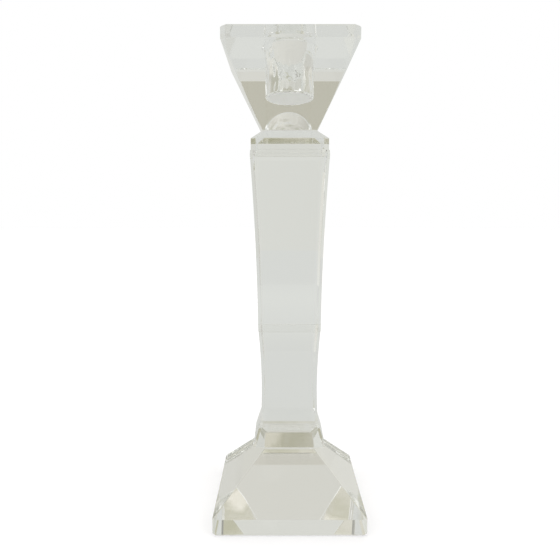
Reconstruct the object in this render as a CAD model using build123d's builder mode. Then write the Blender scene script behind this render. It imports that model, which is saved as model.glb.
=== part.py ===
"""Cut crystal candlestick: five solid glass blocks bonded end to end.

Millimetres, +Z up.  The origin is the middle of the underside, so the candlestick stands on Z = 0.
From the bottom: base block, lower stem, upper column, neck collar, candle cup.  A thin layer of
clear adhesive joins each block to the next.  Every block is square in plan and centred on Z.
"""
import os
from math import sqrt

from build123d import *

os.makedirs("parts", exist_ok=True)

# ---- driving dimensions ----
total_height = 228.6
bond_thickness = 0.1

base_half = 35.9            # base block: square plate under a cut pyramid
plate_height = 8.0
base_top = 31.9
foot_joint_half = 12.5      # half width of the square where the stem is bonded to the base

foot_half = 17.5            # lower stem: undercut foot, flare, then a slightly waisted shaft
foot_z = 35.0               # the foot's widest level
flare_top = 47.0
waist_half = 13.5
waist_z = 63.0
waist_radius = 290.0
stem_top = 91.6

column_half = 15.0          # upper column: sides curve gently outwards from this width
column_curve_z = 80.0
column_radius = 1300.0
column_edge_z = 175.2
column_top = 177.2
column_top_half = 18.3

collar_half = 18.1          # neck collar: square band with a steep bevel on top
collar_band_top = 182.6
collar_top = 186.7
cup_joint_half = 13.0       # half width of the square where the cup is bonded to the collar

rim_half = 30.4             # candle cup: inverted pyramid with a square rim and a drilled socket
rim_height = 5.6
socket_radius = 11.5        # the socket's seat, from which it opens out to the mouth
socket_seat = 10.0
socket_mouth_radius = 12.5
socket_depth = 23.4
socket_chamfer = 0.6

arris = 1.2                 # flats across the upright corners of the base and the shafts
collar_corner = 2.4         # wider flats across the corners of the collar
rim_corner = 2.0            # and of the rim
eased = 0.8                 # bevel round the plate's lower edges and the rim's upper edges
bond_inset = 0.3            # the adhesive stops this far inside the edges of the joint
reach = 50.0                # longer than any block is wide


def squares(low_z, low_half, high_z, high_half):
    """Loft in the current part from one square section up to another."""
    sections = []
    for level, half in ((low_z, low_half), (high_z, high_half)):
        with BuildSketch(Plane.XY.offset(level)) as section:
            Rectangle(2 * half, 2 * half)
        sections.append(section.sketch)
    loft(sections)


def flatten_corners(half, flat, low_z, high_z):
    """Cut the current part with four upright planes that leave flats across a square's corners."""
    with BuildSketch(Plane.XY.offset(low_z)) as section:
        Rectangle(2 * half, 2 * half)
        chamfer(section.vertices(), flat)
    extrude(section.sketch, amount=high_z - low_z, mode=Mode.INTERSECT)


def waist(level):
    """Half width of the stem's hollow side at this level."""
    return waist_half + (level - waist_z) ** 2 / (2 * waist_radius)


def curve(level):
    """Half width of the column's hollow side at this level."""
    return column_half + (level - column_curve_z) ** 2 / (2 * column_radius)


def stem_outline(at):
    """Side view of the lower stem.  at(half, level) places a point of its right side."""
    bottom = base_top + bond_thickness
    with BuildSketch() as outline:
        with BuildLine():
            foot = Polyline(
                (0, bottom),
                at(foot_joint_half, bottom),
                at(foot_half, foot_z),
                at(waist(flare_top), flare_top),
            )
            shaft = ThreePointArc(
                foot @ 1, at(waist_half, waist_z), at(waist(stem_top), stem_top)
            )
            Polyline(shaft @ 1, (0, stem_top))
            mirror(about=Plane.YZ)
        make_face()
    return outline.sketch


def column_outline(at):
    """Side view of the upper column, drawn as stem_outline draws the stem."""
    bottom = stem_top + bond_thickness
    middle = (bottom + column_edge_z) / 2
    with BuildSketch() as outline:
        with BuildLine():
            side = ThreePointArc(*[at(curve(z), z) for z in (bottom, middle, column_edge_z)])
            Polyline((0, bottom), side @ 0)
            Polyline(side @ 1, at(column_top_half, column_top), (0, column_top))
            mirror(about=Plane.YZ)
        make_face()
    return outline.sketch


def collar_outline(at):
    """Side view of the neck collar, drawn as stem_outline draws the stem."""
    bottom = column_top + bond_thickness
    with BuildSketch() as outline:
        with BuildLine():
            Polyline(
                (0, bottom),
                at(collar_half, bottom),
                at(collar_half, collar_band_top),
                at(cup_joint_half, collar_top),
                (0, collar_top),
            )
            mirror(about=Plane.YZ)
        make_face()
    return outline.sketch


def on_side(half, level):
    """A point of the outline seen square to a side."""
    return (half, level)


def square_shaft(outline, flat):
    """Build the current part from its outline seen from the front, the side and both diagonals."""

    def on_corner(half, level):
        """The same point seen along a diagonal, where the flat on the corner is the outline."""
        return ((2 * half - flat) / sqrt(2), level)

    mode = Mode.ADD
    for turn, at in ((0, on_side), (90, on_side), (45, on_corner), (-45, on_corner)):
        view = Plane.XZ.rotated((0, 0, turn)).offset(-reach)
        extrude(view * outline(at), amount=2 * reach, mode=mode)
        mode = Mode.INTERSECT


def bond_layer(low_z, joint_half, flat):
    """A thin square layer of cured adhesive, just inside the edges of the faces it joins."""
    with BuildSketch(Plane.XY.offset(low_z)) as layer:
        Rectangle(2 * (joint_half - bond_inset), 2 * (joint_half - bond_inset))
        chamfer(layer.vertices(), flat)
    extrude(layer.sketch, amount=bond_thickness)


# ---- base block ----
with BuildPart() as base_block:
    squares(plate_height, base_half, base_top, foot_joint_half)
    with BuildSketch():
        Rectangle(2 * base_half, 2 * base_half)
    extrude(amount=plate_height)
    flatten_corners(base_half, arris, 0, base_top)
    chamfer(base_block.faces().sort_by(Axis.Z)[0].edges(), eased)

# ---- lower stem ----
with BuildPart() as lower_stem:
    square_shaft(stem_outline, arris)

# ---- upper column ----
with BuildPart() as upper_column:
    square_shaft(column_outline, arris)

# ---- neck collar ----
with BuildPart() as neck_collar:
    square_shaft(collar_outline, collar_corner)

# ---- candle cup ----
cup_bottom = collar_top + bond_thickness
rim_bottom = total_height - rim_height
with BuildPart() as candle_cup:
    squares(cup_bottom, cup_joint_half, rim_bottom, rim_half)
    with BuildSketch(Plane.XY.offset(rim_bottom)):
        Rectangle(2 * rim_half, 2 * rim_half)
    extrude(amount=rim_height)
    flatten_corners(rim_half, rim_corner, cup_bottom, total_height)
    chamfer(candle_cup.faces().sort_by(Axis.Z)[-1].edges(), eased)
    with BuildSketch(Plane.XY.offset(total_height)):
        Circle(socket_radius)
    extrude(amount=-socket_depth, mode=Mode.SUBTRACT)
    taper = socket_depth - socket_seat
    with Locations((0, 0, total_height - taper / 2)):
        Cone(socket_radius, socket_mouth_radius, taper, mode=Mode.SUBTRACT)
    mouth = candle_cup.faces().sort_by(Axis.Z)[-1].edges().filter_by(GeomType.CIRCLE)
    chamfer(mouth, socket_chamfer)

# ---- adhesive layers ----
with BuildPart() as foot_bond:
    bond_layer(base_top, foot_joint_half, arris)
with BuildPart() as stem_bond:
    bond_layer(stem_top, waist(stem_top), arris)
with BuildPart() as collar_bond:
    bond_layer(column_top, collar_half, collar_corner)
with BuildPart() as cup_bond:
    bond_layer(collar_top, cup_joint_half, collar_corner)

for label, piece in (
    ("base_block", base_block),
    ("lower_stem", lower_stem),
    ("upper_column", upper_column),
    ("neck_collar", neck_collar),
    ("candle_cup", candle_cup),
    ("foot_bond", foot_bond),
    ("stem_bond", stem_bond),
    ("collar_bond", collar_bond),
    ("cup_bond", cup_bond),
):
    piece.part.label = label
    export_step(piece.part, f"parts/{label}.step")
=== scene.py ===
"""Looks for the glass candlestick: five cut crystal blocks and the adhesive layers between them.

Lengths are in metres.  Every glass block is square in plan about the Z axis, so it is drawn as a
stack of sections, each a square with flats across its corners.
"""
from math import cos, pi, radians, sin, tan

import bmesh
import bpy
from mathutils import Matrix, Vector


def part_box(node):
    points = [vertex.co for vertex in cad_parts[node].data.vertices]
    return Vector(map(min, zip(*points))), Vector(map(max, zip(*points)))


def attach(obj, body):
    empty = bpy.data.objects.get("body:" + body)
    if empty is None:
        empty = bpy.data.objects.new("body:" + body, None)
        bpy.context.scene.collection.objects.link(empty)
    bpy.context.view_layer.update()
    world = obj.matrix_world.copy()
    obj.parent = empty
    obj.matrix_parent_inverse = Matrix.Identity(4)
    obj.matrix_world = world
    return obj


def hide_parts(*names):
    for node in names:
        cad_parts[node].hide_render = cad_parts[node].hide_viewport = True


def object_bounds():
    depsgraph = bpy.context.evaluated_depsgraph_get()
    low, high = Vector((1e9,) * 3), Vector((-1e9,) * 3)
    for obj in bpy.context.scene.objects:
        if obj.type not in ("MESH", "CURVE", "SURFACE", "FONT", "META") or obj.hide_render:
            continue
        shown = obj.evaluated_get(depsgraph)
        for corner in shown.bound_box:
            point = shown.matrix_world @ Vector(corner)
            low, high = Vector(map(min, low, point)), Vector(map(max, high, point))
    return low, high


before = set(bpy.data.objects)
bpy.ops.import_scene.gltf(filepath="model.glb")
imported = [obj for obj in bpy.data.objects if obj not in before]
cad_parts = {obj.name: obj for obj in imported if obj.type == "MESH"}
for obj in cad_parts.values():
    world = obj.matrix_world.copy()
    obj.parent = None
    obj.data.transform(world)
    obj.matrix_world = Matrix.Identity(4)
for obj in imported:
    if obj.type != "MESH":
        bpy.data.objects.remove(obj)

cad_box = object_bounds()

MM = 0.001

# ---- sizes that the frame's boxes don't give ----
PLATE_HEIGHT = 8.0 * MM
FOOT_JOINT_HALF = 12.5 * MM
FOOT_Z = 35.0 * MM
FLARE_TOP = 47.0 * MM
WAIST_HALF = 13.5 * MM
WAIST_Z = 63.0 * MM
WAIST_RADIUS = 290.0 * MM
COLUMN_HALF = 15.0 * MM
COLUMN_CURVE_Z = 80.0 * MM
COLUMN_RADIUS = 1300.0 * MM
COLUMN_EDGE_DROP = 2.0 * MM
COLUMN_TOP_HALF = 18.3 * MM
COLLAR_BEVEL_HEIGHT = 4.1 * MM
CUP_JOINT_HALF = 13.0 * MM
RIM_HEIGHT = 5.6 * MM
SOCKET_RADIUS = 11.5 * MM   # at the seat, from which the socket opens out to its mouth
SOCKET_SEAT = 10.0 * MM
SOCKET_MOUTH_RADIUS = 12.5 * MM
SOCKET_DEPTH = 23.4 * MM
SOCKET_CHAMFER = 0.6 * MM
ARRIS = 1.2 * MM            # flats across the upright corners of the base and the shafts
COLLAR_CORNER = 2.4 * MM    # wider flats across the corners of the collar
RIM_CORNER = 2.0 * MM       # and of the rim
EASED = 0.8 * MM            # bevel round the plate's lower edges and the rim's upper edges
BOND_CORNERS = {
    "foot_bond": ARRIS,
    "stem_bond": ARRIS,
    "collar_bond": COLLAR_CORNER,
    "cup_bond": COLLAR_CORNER,
}

# ---- finer detail that only the visible meshes have ----
POLISH = 0.12 * MM          # fine bevel that polishing leaves on every cut edge
SHARP = 0.3 * MM            # flats along the sloping edges of the two pyramids
SOCKET_WAVE = 0.05 * MM     # how far the drilled wall wanders
WAVE_START = 3.0 * MM       # depth at which the wander has reached its full size
SOCKET_ROUND = 0.7 * MM     # rounding between the socket's wall and its floor
CURVE_STEPS = 40            # sections along a hollow side
SOCKET_SEGMENTS = 128
SOCKET_RINGS = 30
ROUND_STEPS = 6
SHARP_ANGLE = radians(6)    # edges that turn less than this are shaded smooth

# ---- glass ----
CRYSTAL_IOR = 1.517
CRYSTAL_TINT = (0.95, 0.955, 0.94, 1)
COLUMN_TINT = (0.96, 0.966, 0.952, 1)       # the upper column is a touch clearer

# ---- floor, camera and light paths ----
FLOOR_RADIUS = 6.0
FLOOR_GAP = 0.25 * MM       # the floor lies this far under the base
CAMERA_PLACE = (-0.020, -1.2477, 0.6455)    # in heights of the candlestick
CAMERA_TILT = radians(6.5)
CAMERA_LENS = 36.81
SENSOR_WIDTH = 36
MOST_BOUNCES = 96           # light is reflected many times inside the blocks
MOST_CLEAR_FACES = 64


# ---- shapes ----
def half_of(node):
    """Half the width of a CAD node."""
    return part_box(node)[1].x


def section(bm, level, half, flat):
    """Eight corners of a square section whose corners are cut off by this much."""
    inner = half - flat
    corners = (
        (inner, -half), (half, -inner), (half, inner), (inner, half),
        (-inner, half), (-half, inner), (-half, -inner), (-inner, -half),
    )
    return [bm.verts.new((x, y, level)) for x, y in corners]


def band(bm, low, high):
    """The faces between one section and the next."""
    for i in range(len(low)):
        j = (i + 1) % len(low)
        bm.faces.new((low[i], low[j], high[j], high[i]))


def cap(bm, ring, bond):
    """Close an end.  If bond names an adhesive layer, the glass that it wets gets material slot 1."""
    if bond:
        wetted = section(bm, ring[0].co.z, half_of(bond), BOND_CORNERS[bond])
        band(bm, ring, wetted)
        bm.faces.new(wetted).material_index = 1
    else:
        bm.faces.new(ring)


def stack(sections, bottom_bond=None, top_bond=None):
    """A closed solid through sections given as (level, half width, corner flat), from the bottom up."""
    bm = bmesh.new()
    rings = [section(bm, *each) for each in sections]
    for low, high in zip(rings, rings[1:]):
        band(bm, low, high)
    cap(bm, rings[0], bottom_bond)
    cap(bm, rings[-1], top_bond)
    bmesh.ops.recalc_face_normals(bm, faces=bm.faces)
    return bm


def polished(name, bm, materials):
    """An object from this solid with a fine bevel on its cut edges, all of it in material slot 0."""
    rough = bpy.data.meshes.new(name + "_cut")
    bm.to_mesh(rough)
    bm.free()
    piece = bpy.data.objects.new(name, rough)
    bpy.context.scene.collection.objects.link(piece)
    for material in materials:
        rough.materials.append(material)
    bevel = piece.modifiers.new("polish", "BEVEL")
    bevel.width = POLISH
    bevel.segments = 2
    bevel.limit_method = "ANGLE"
    bevel.angle_limit = SHARP_ANGLE
    bevel.material = 0
    depsgraph = bpy.context.evaluated_depsgraph_get()
    mesh = bpy.data.meshes.new_from_object(piece.evaluated_get(depsgraph))
    mesh.name = name
    piece.modifiers.clear()
    piece.data = mesh
    bpy.data.meshes.remove(rough)
    return piece


def crisp(piece):
    """Shade the curved faces smooth and leave every cut edge sharp."""
    mesh = piece.data
    mesh.shade_smooth()
    mesh.set_sharp_from_angle(angle=SHARP_ANGLE)


def hollow_sides(low, high, half, curve_z, radius, flat):
    """Sections up a side that curves gently inwards, narrowest at curve_z."""
    levels = [low + (high - low) * i / CURVE_STEPS for i in range(CURVE_STEPS + 1)]
    return [(level, half + (level - curve_z) ** 2 / (2 * radius), flat) for level in levels]


def pyramid(wide_level, wide_half, corner, tip_level, tip_half):
    """Sections of a cut pyramid: the flat on its plate's corner runs out just past the wide end."""
    step = (corner - SHARP) / 2
    rise = (tip_level - wide_level) * step / (wide_half - tip_half)
    return [
        (wide_level, wide_half, corner),
        (wide_level + rise, wide_half - step, SHARP),
        (tip_level, tip_half, SHARP),
    ]


def base_block_solid():
    half = half_of("base_block")
    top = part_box("base_block")[1].z
    plate = [(0, half - EASED, ARRIS), (EASED, half, ARRIS)]
    slopes = pyramid(PLATE_HEIGHT, half, ARRIS, top, FOOT_JOINT_HALF)
    return stack(plate + slopes, top_bond="foot_bond")


def lower_stem_solid():
    low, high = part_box("lower_stem")
    shaft = hollow_sides(FLARE_TOP, high.z, WAIST_HALF, WAIST_Z, WAIST_RADIUS, ARRIS)
    foot = [(low.z, FOOT_JOINT_HALF, ARRIS), (FOOT_Z, high.x, ARRIS)]
    return stack(foot + shaft, bottom_bond="foot_bond", top_bond="stem_bond")


def upper_column_solid():
    low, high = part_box("upper_column")
    edge = high.z - COLUMN_EDGE_DROP
    sides = hollow_sides(low.z, edge, COLUMN_HALF, COLUMN_CURVE_Z, COLUMN_RADIUS, ARRIS)
    sides.append((high.z, COLUMN_TOP_HALF, ARRIS))
    return stack(sides, bottom_bond="stem_bond", top_bond="collar_bond")


def neck_collar_solid():
    low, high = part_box("neck_collar")
    sections = [
        (low.z, high.x, COLLAR_CORNER),
        (high.z - COLLAR_BEVEL_HEIGHT, high.x, COLLAR_CORNER),
        (high.z, CUP_JOINT_HALF, COLLAR_CORNER),
    ]
    return stack(sections, bottom_bond="collar_bond", top_bond="cup_bond")


def candle_cup_solid():
    low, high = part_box("candle_cup")
    flare = pyramid(high.z - RIM_HEIGHT, high.x, RIM_CORNER, low.z, CUP_JOINT_HALF)
    rim = [(high.z - EASED, high.x, RIM_CORNER), (high.z, high.x - EASED, RIM_CORNER)]
    return stack(flare[::-1] + rim, bottom_bond="cup_bond")


def socket_radius(angle, depth):
    """Radius of the drilled wall: straight at the seat, tapered above, and slightly wavy."""
    taper = SOCKET_DEPTH - SOCKET_SEAT
    opening = (SOCKET_MOUTH_RADIUS - SOCKET_RADIUS) * max(0.0, 1 - depth / taper)
    wave = 0.5 * sin(5 * angle + 90 * depth) + 0.3 * sin(11 * angle - 260 * depth + 1.3)
    wave += 0.2 * sin(3 * angle + 430 * depth + 0.6)
    fade = min(1.0, depth / WAVE_START)
    return SOCKET_RADIUS + opening - SOCKET_WAVE * (1 + wave) * fade


def socket_profile():
    """Depth and added radius of each ring, from the mouth's chamfer to the rounded floor."""
    straight = SOCKET_DEPTH - SOCKET_CHAMFER - SOCKET_ROUND
    profile = [(0.0, SOCKET_CHAMFER)]
    profile += [(SOCKET_CHAMFER + straight * i / SOCKET_RINGS, 0.0) for i in range(SOCKET_RINGS + 1)]
    for i in range(1, ROUND_STEPS + 1):
        turn = i / ROUND_STEPS * pi / 2
        profile.append((SOCKET_DEPTH - SOCKET_ROUND * (1 - sin(turn)), SOCKET_ROUND * (cos(turn) - 1)))
    return profile


def drill_socket(piece):
    """Replace the cup's top face with one that has the socket's mouth, wall and ground floor."""
    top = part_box("candle_cup")[1].z
    bm = bmesh.new()
    bm.from_mesh(piece.data)
    roof = max((f for f in bm.faces if f.normal.z > 0.99), key=lambda f: f.calc_area())
    outline = list(roof.edges)
    bmesh.ops.delete(bm, geom=[roof], context="FACES_ONLY")

    rings = []
    for depth, widen in socket_profile():
        ring = []
        for k in range(SOCKET_SEGMENTS):
            angle = 2 * pi * k / SOCKET_SEGMENTS
            r = socket_radius(angle, depth) + widen
            ring.append(bm.verts.new((r * cos(angle), r * sin(angle), top - depth)))
        rings.append(ring)
    for i, (upper, lower) in enumerate(zip(rings, rings[1:])):
        for k in range(SOCKET_SEGMENTS):
            j = (k + 1) % SOCKET_SEGMENTS
            face = bm.faces.new((upper[k], lower[k], lower[j], upper[j]))
            face.material_index = 2 if i > 0 else 0
    centre = bm.verts.new((0, 0, top - SOCKET_DEPTH))
    last = rings[-1]
    for k in range(SOCKET_SEGMENTS):
        bm.faces.new((last[k], centre, last[(k + 1) % SOCKET_SEGMENTS])).material_index = 3
    mouth = [bm.edges.get((rings[0][k], rings[0][k - 1])) for k in range(SOCKET_SEGMENTS)]
    bmesh.ops.triangle_fill(bm, edges=outline + mouth, use_beauty=True, normal=Vector((0, 0, 1)))
    bmesh.ops.recalc_face_normals(bm, faces=bm.faces)
    bm.to_mesh(piece.data)
    bm.free()


def bond_layer(name, material):
    """The thin, slightly rounded pad of adhesive inside a joint, clear of both glass faces."""
    low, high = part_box(name)
    gap = (high.z - low.z) / 8
    corner = BOND_CORNERS[name]
    bm = stack(
        [
            (low.z + gap, high.x - gap, corner),
            ((low.z + high.z) / 2, high.x, corner),
            (high.z - gap, high.x - gap, corner),
        ]
    )
    mesh = bpy.data.meshes.new(name + "_film")
    bm.to_mesh(mesh)
    bm.free()
    mesh.materials.append(material)
    piece = bpy.data.objects.new(name + "_film", mesh)
    bpy.context.scene.collection.objects.link(piece)
    return piece


# ---- shader nodes ----
def feed(tree, value, socket):
    """Link a node's output to this socket, or set a plain value on it."""
    if isinstance(value, bpy.types.NodeSocket):
        tree.links.new(value, socket)
    else:
        socket.default_value = value


def object_place(tree):
    """The shaded point in the piece's own coordinates."""
    return tree.nodes.new("ShaderNodeTexCoord").outputs["Object"]


def noise(tree, scale, detail, stretch=(1, 1, 1)):
    """A noise texture in the piece's own coordinates, stretched along the axes."""
    mapping = tree.nodes.new("ShaderNodeMapping")
    mapping.inputs["Scale"].default_value = stretch
    texture = tree.nodes.new("ShaderNodeTexNoise")
    texture.inputs["Scale"].default_value = scale
    texture.inputs["Detail"].default_value = detail
    tree.links.new(object_place(tree), mapping.inputs["Vector"])
    tree.links.new(mapping.outputs["Vector"], texture.inputs["Vector"])
    return texture.outputs["Fac"]


def map_range(tree, value, low, high, to_low=0.0, to_high=1.0):
    """The value, taken from the range low to high into another range and kept inside it."""
    node = tree.nodes.new("ShaderNodeMapRange")
    node.inputs["From Min"].default_value = low
    node.inputs["From Max"].default_value = high
    node.inputs["To Min"].default_value = to_low
    node.inputs["To Max"].default_value = to_high
    tree.links.new(value, node.inputs["Value"])
    return node.outputs["Result"]


def maths(tree, operation, *values):
    """The result of a Math node for these values."""
    node = tree.nodes.new("ShaderNodeMath")
    node.operation = operation
    for value, socket in zip(values, node.inputs):
        feed(tree, value, socket)
    return node.outputs["Value"]


def measure(tree, operation, vector, other=(0, 0, 0)):
    """One number from a vector: its length, its distance from a point, or its dot product."""
    node = tree.nodes.new("ShaderNodeVectorMath")
    node.operation = operation
    tree.links.new(vector, node.inputs[0])
    node.inputs[1].default_value = other
    return node.outputs["Value"]


def colour_mix(tree, amount, first, second):
    """The first colour, turning into the second as the amount rises from 0 to 1."""
    mix = tree.nodes.new("ShaderNodeMix")
    mix.data_type = "RGBA"
    feed(tree, amount, mix.inputs["Factor"])
    feed(tree, first, mix.inputs["A"])
    feed(tree, second, mix.inputs["B"])
    return mix.outputs["Result"]


def shader_mix(tree, amount, first, second):
    """The first shader, turning into the second as the amount rises from 0 to 1."""
    mix = tree.nodes.new("ShaderNodeMixShader")
    feed(tree, amount, mix.inputs["Fac"])
    tree.links.new(first, mix.inputs[1])
    tree.links.new(second, mix.inputs[2])
    return mix.outputs["Shader"]


def simple_shader(tree, kind, colour):
    """The output of a shader node of this kind and colour."""
    node = tree.nodes.new(kind)
    feed(tree, colour, node.inputs["Color"])
    return node.outputs[0]


def add_bump(tree, shader, height, strength, distance):
    bump = tree.nodes.new("ShaderNodeBump")
    feed(tree, strength, bump.inputs["Strength"])
    bump.inputs["Distance"].default_value = distance
    tree.links.new(height, bump.inputs["Height"])
    tree.links.new(bump.outputs["Normal"], shader.inputs["Normal"])


def seen_directly(tree):
    """1 for light that comes straight to the eye, 0 for light that the glass has bent."""
    return tree.nodes.new("ShaderNodeLightPath").outputs["Is Camera Ray"]


# ---- materials ----
def new_material(name):
    """A node material, its node tree, and its Principled shader."""
    material = bpy.data.materials.new(name)
    material.use_nodes = True
    tree = material.node_tree
    return material, tree, tree.nodes["Principled BSDF"]


def set_surface(tree, shader):
    """Use this shader output as the surface."""
    tree.links.new(shader, tree.nodes["Material Output"].inputs["Surface"])


def glass_sockets(shader, roughness=0.0, tint=CRYSTAL_TINT):
    shader.inputs["Base Color"].default_value = tint
    shader.inputs["Roughness"].default_value = roughness
    shader.inputs["IOR"].default_value = CRYSTAL_IOR
    shader.inputs["Transmission Weight"].default_value = 1.0


def crystal_material(name, tint):
    """Clear polished crystal: very slightly uneven faces with faint wipe marks."""
    material, tree, shader = new_material(name)
    glass_sockets(shader, tint=tint)
    swirl = noise(tree, 60, 2.0, (1, 1, 0.5))
    add_bump(tree, shader, swirl, 0.02, 0.4 * MM)
    wipe = noise(tree, 240, 5.0, (1, 1, 0.25))
    tree.links.new(map_range(tree, wipe, 0.45, 0.75, 0.0, 0.03), shader.inputs["Roughness"])
    return material


def bonded_material():
    """A face wetted by the adhesive: light passes straight on into the next block."""
    material, tree, shader = new_material("bonded_face")
    tree.nodes.remove(shader)
    set_surface(tree, simple_shader(tree, "ShaderNodeBsdfTransparent", (0.999, 0.999, 0.998, 1)))
    return material


def socket_wall_material():
    """The drilled wall: ripples left by the drill, polished away towards the mouth and the right."""
    material, tree, shader = new_material("socket_wall")
    glass_sockets(shader, 0.01)
    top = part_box("candle_cup")[1].z
    level = measure(tree, "DOT_PRODUCT", object_place(tree), (0.6, 0, 1))
    ripple = noise(tree, 260, 1.0, (1, 1, 0.5))
    strength = map_range(tree, level, top - 10 * MM, top - 5 * MM, 0.75, 0.05)
    add_bump(tree, shader, ripple, strength, 1.5 * MM)
    return material


def ground_material():
    """The ground floor of the socket: finely frosted glass that also scatters light from above."""
    material, tree, shader = new_material("ground_glass")
    glass_sockets(shader, 0.45)
    add_bump(tree, shader, noise(tree, 4000, 3.0), 0.3, 0.05 * MM)
    frost = simple_shader(tree, "ShaderNodeBsdfTranslucent", CRYSTAL_TINT)
    set_surface(tree, shader_mix(tree, 0.45, shader.outputs["BSDF"], frost))
    return material


def adhesive_material(name, tint):
    """Cured clear adhesive: it lets light through and gives a very faint, cloudy sheen."""
    material, tree, shader = new_material(name)
    tree.nodes.remove(shader)
    clear = simple_shader(tree, "ShaderNodeBsdfTransparent", tint)
    sheen = tree.nodes.new("ShaderNodeBsdfGlossy")
    sheen.inputs["Roughness"].default_value = 0.25
    cloud = map_range(tree, noise(tree, 500, 3.0), 0.0, 1.0, 0.0, 0.004)
    set_surface(tree, shader_mix(tree, cloud, clear, sheen.outputs["BSDF"]))
    return material


def shade_under_base(tree, place):
    """Streaky olive shade, paler to the right, with a bright patch where the base focuses light."""
    streaks = map_range(tree, noise(tree, 150, 3.0, (1, 0.4, 1)), 0.3, 0.7, -0.3, 0.3)
    side = tree.nodes.new("ShaderNodeSeparateXYZ")
    tree.links.new(place, side.inputs["Vector"])
    rightward = map_range(tree, side.outputs["X"], -20 * MM, 20 * MM)
    paleness = maths(tree, "ADD", rightward, streaks)
    olive = colour_mix(tree, paleness, (0.53, 0.52, 0.40, 1), (0.72, 0.70, 0.62, 1))
    from_focus = measure(tree, "DISTANCE", place, (-11 * MM, 28 * MM, 0))
    ragged = maths(tree, "MULTIPLY_ADD", streaks, 14 * MM, from_focus)
    focus = map_range(tree, ragged, 9 * MM, 4 * MM)
    return colour_mix(tree, focus, olive, (0.88, 0.85, 0.76, 1))


def floor_material():
    """White to look at.  Through the glass it glows instead, with painted olive shade and a painted
    bright patch under the base, and pale grey beyond.
    """
    material, tree, shader = new_material("studio_floor")
    shader.inputs["Base Color"].default_value = (0.93, 0.93, 0.97, 1)
    shader.inputs["Roughness"].default_value = 0.9
    shader.inputs["Specular IOR Level"].default_value = 0.1
    place = object_place(tree)
    distance = measure(tree, "LENGTH", place)
    # painted shade and painted light under the base, given as glowing colour
    colour = shade_under_base(tree, place)
    for near, far, grey in (
        (40 * MM, 75 * MM, (0.70, 0.71, 0.69, 1)),
        (400 * MM, 800 * MM, (0.735, 0.745, 0.72, 1)),
        (900 * MM, 1400 * MM, (0.71, 0.72, 0.70, 1)),
    ):
        colour = colour_mix(tree, map_range(tree, distance, near, far), colour, grey)
    bent = simple_shader(tree, "ShaderNodeEmission", colour)
    set_surface(tree, shader_mix(tree, seen_directly(tree), bent, shader.outputs["BSDF"]))
    return material


# ---- the studio ----
def studio_floor():
    """A wide, plain, pale floor just under the candlestick."""
    bm = bmesh.new()
    bmesh.ops.create_circle(bm, cap_ends=True, radius=FLOOR_RADIUS, segments=96)
    bmesh.ops.translate(bm, verts=bm.verts, vec=(0, 0, -FLOOR_GAP))
    mesh = bpy.data.meshes.new("studio_floor")
    bm.to_mesh(mesh)
    bm.free()
    floor = bpy.data.objects.new("studio_floor", mesh)
    bpy.context.scene.collection.objects.link(floor)
    mesh.materials.append(floor_material())


def studio_light():
    """One broad soft light, high on the right, that casts no shadow and doesn't show in the glass."""
    lamp = bpy.data.lights.new("key", "SUN")
    lamp.energy = 2.1
    lamp.angle = radians(60)
    lamp.use_shadow = False
    light = bpy.data.objects.new("key", lamp)
    bearing = radians(110)
    toward = Vector((sin(bearing), cos(bearing), tan(radians(50))))
    light.rotation_euler = toward.to_track_quat("Z", "Y").to_euler()
    light.visible_transmission = False
    light.visible_glossy = False
    bpy.context.scene.collection.objects.link(light)


def tent_colour(tree, direction):
    """The tent's colour by height, with the scale of heights tipped a little towards the front."""
    height = measure(tree, "DOT_PRODUCT", direction, (0, -0.25, 1))
    ramp = tree.nodes.new("ShaderNodeValToRGB")
    tree.links.new(height, ramp.inputs["Fac"])
    stops = ramp.color_ramp.elements
    for at, colour in (
        (0.01, (0.72, 0.725, 0.69, 1)),
        (0.15, (0.69, 0.685, 0.645, 1)),
        (0.25, (0.70, 0.695, 0.65, 1)),
        (0.50, (0.70, 0.69, 0.63, 1)),
        (0.65, (0.63, 0.615, 0.56, 1)),
        (0.75, (0.61, 0.60, 0.54, 1)),
        (0.88, (0.53, 0.53, 0.45, 1)),
        (0.99, (0.52, 0.50, 0.42, 1)),
    ):
        stops.new(at).color = colour
    stops.remove(stops[-1])
    stops.remove(stops[0])
    return ramp.outputs["Color"]


def panel_amount(tree, across, along, up):
    """1 inside the two bright panels, high on either side of the front, and 0 outside them."""
    mirrored = tree.nodes.new("ShaderNodeCombineXYZ")
    tree.links.new(maths(tree, "ABSOLUTE", across), mirrored.inputs["X"])
    tree.links.new(along, mirrored.inputs["Y"])
    tree.links.new(up, mirrored.inputs["Z"])
    toward = measure(tree, "DOT_PRODUCT", mirrored.outputs["Vector"], (0.60, -0.55, 0.58))
    return map_range(tree, toward, 0.94, 0.975)


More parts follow.
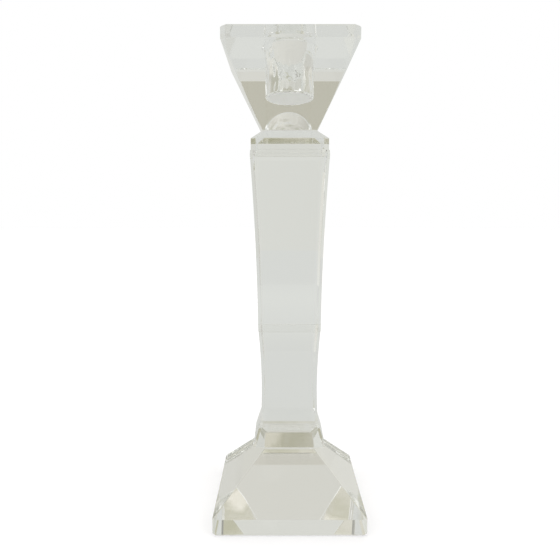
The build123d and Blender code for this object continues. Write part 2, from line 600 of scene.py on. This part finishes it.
def studio_world():
    """White to look at.  Through the glass it is a light tent: palest low down and on the left,
    deeper and warmer overhead, and dim behind the camera, between two bright panels."""
    world = bpy.data.worlds.new("studio")
    world.use_nodes = True
    tree = world.node_tree
    direction = tree.nodes.new("ShaderNodeTexCoord").outputs["Generated"]
    axes = tree.nodes.new("ShaderNodeSeparateXYZ")
    tree.links.new(direction, axes.inputs["Vector"])
    across, along, up = axes.outputs
    leftward = map_range(tree, across, -1.0, 1.0, 1.12, 0.88)
    backward = map_range(tree, along, -0.86, -0.74, 0.5, 1.0)
    tent = tree.nodes.new("ShaderNodeVectorMath")
    tent.operation = "SCALE"
    tree.links.new(tent_colour(tree, direction), tent.inputs["Vector"])
    tree.links.new(maths(tree, "MULTIPLY", leftward, backward), tent.inputs["Scale"])
    panels = panel_amount(tree, across, along, up)
    bent = colour_mix(tree, panels, tent.outputs["Vector"], (1.3, 1.3, 1.3, 1))
    colour = colour_mix(tree, seen_directly(tree), bent, (1, 1, 1, 1))
    tree.links.new(colour, tree.nodes["Background"].inputs["Color"])
    bpy.context.scene.world = world


def photo_camera():
    """Level with the upper column, a little to the left, and tilted slightly down."""
    data = bpy.data.cameras.new("camera")
    data.sensor_width = SENSOR_WIDTH
    data.lens = CAMERA_LENS
    data.clip_start = 0.01
    data.clip_end = 50
    camera = bpy.data.objects.new("camera", data)
    camera.location = Vector(CAMERA_PLACE) * cad_box[1][2]
    camera.rotation_euler = (radians(90) - CAMERA_TILT, 0, 0)
    bpy.context.scene.collection.objects.link(camera)
    bpy.context.scene.camera = camera


# ---- put it together ----
crystal = crystal_material("crystal", CRYSTAL_TINT)
column_crystal = crystal_material("column_crystal", COLUMN_TINT)
bonded = bonded_material()
adhesive = adhesive_material("cured_adhesive", (0.998, 0.998, 0.995, 1))
# The adhesive under the foot is darker: a sheet of painted shade for the dim zone seen in the foot.
shade_darkened_adhesive = adhesive_material("shade_darkened_adhesive", (0.88, 0.88, 0.86, 1))   # under the foot, less clear

glass_blocks = {
    "base_block": base_block_solid,
    "lower_stem": lower_stem_solid,
    "upper_column": upper_column_solid,
    "neck_collar": neck_collar_solid,
    "candle_cup": candle_cup_solid,
}
for node, make in glass_blocks.items():
    slots = [column_crystal if node == "upper_column" else crystal, bonded]
    if node == "candle_cup":
        slots += [socket_wall_material(), ground_material()]
    block = polished(node + "_glass", make(), slots)
    if node == "candle_cup":
        drill_socket(block)
    crisp(block)
    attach(block, "root")
    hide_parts(node)

for node in BOND_CORNERS:
    film = bond_layer(node, shade_darkened_adhesive if node == "foot_bond" else adhesive)
    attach(film, "root")
    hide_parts(node)

studio_floor()
studio_world()
studio_light()
photo_camera()
bpy.context.scene.view_settings.view_transform = "Standard"
cycles = bpy.context.scene.cycles
cycles.max_bounces = MOST_BOUNCES
cycles.glossy_bounces = MOST_BOUNCES
cycles.transmission_bounces = MOST_BOUNCES
cycles.transparent_max_bounces = MOST_CLEAR_FACES
